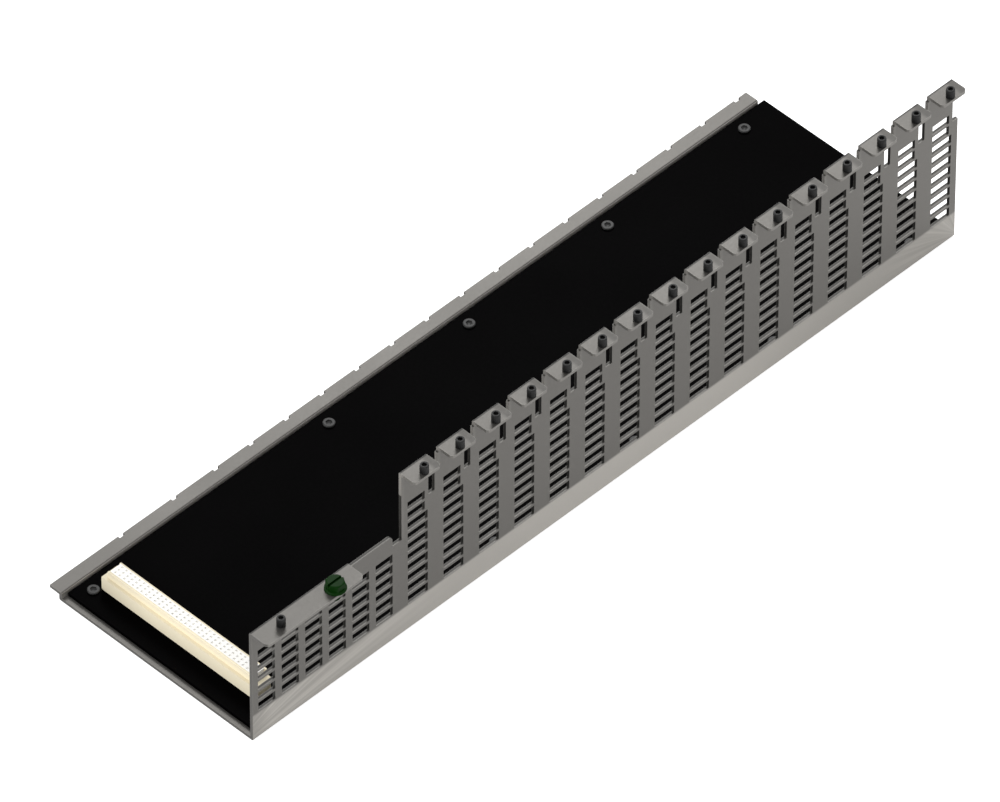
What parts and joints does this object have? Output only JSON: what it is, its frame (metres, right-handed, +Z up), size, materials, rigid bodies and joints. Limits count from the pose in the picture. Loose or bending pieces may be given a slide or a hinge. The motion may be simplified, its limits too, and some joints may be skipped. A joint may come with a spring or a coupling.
{
  "type": "module chassis",
  "caption": "Folded sheet chassis for plug-in modules: slotted wall with bent screw tabs, flat plate with a black board, receptacle and raised rear rail.",
  "frame": {"origin": "on the underside of the plate, under the middle of the part's box", "axes": "+X along the chassis from the low wall's end to the tall end, +Y from the vented wall to the raised rail, +Z up"},
  "size_m": [0.4078, 0.1274, 0.0964],
  "materials": {
    "grey_sheet": "satin grey plated sheet steel",
    "black_board": "black, smooth, with a soft sheen",
    "cream_shell": "cream moulded plastic",
    "white_insert": "off-white moulded plastic",
    "contact_metal": "tinned brass",
    "dark_screw": "dark plated steel",
    "green_screw": "green, satin",
    "board_screw": "grey plated steel"
  },
  "bodies": {
    "root": {"chassis_sheet": "grey_sheet", "backplane_board": "black_board", "connector_body": "cream_shell", "connector_insert": "white_insert", "connector_contacts": "contact_metal", "tab_screws": "dark_screw", "flange_screw": "dark_screw", "ground_screw": "green_screw", "board_screws": "board_screw"}
  },
  "joints": []
}
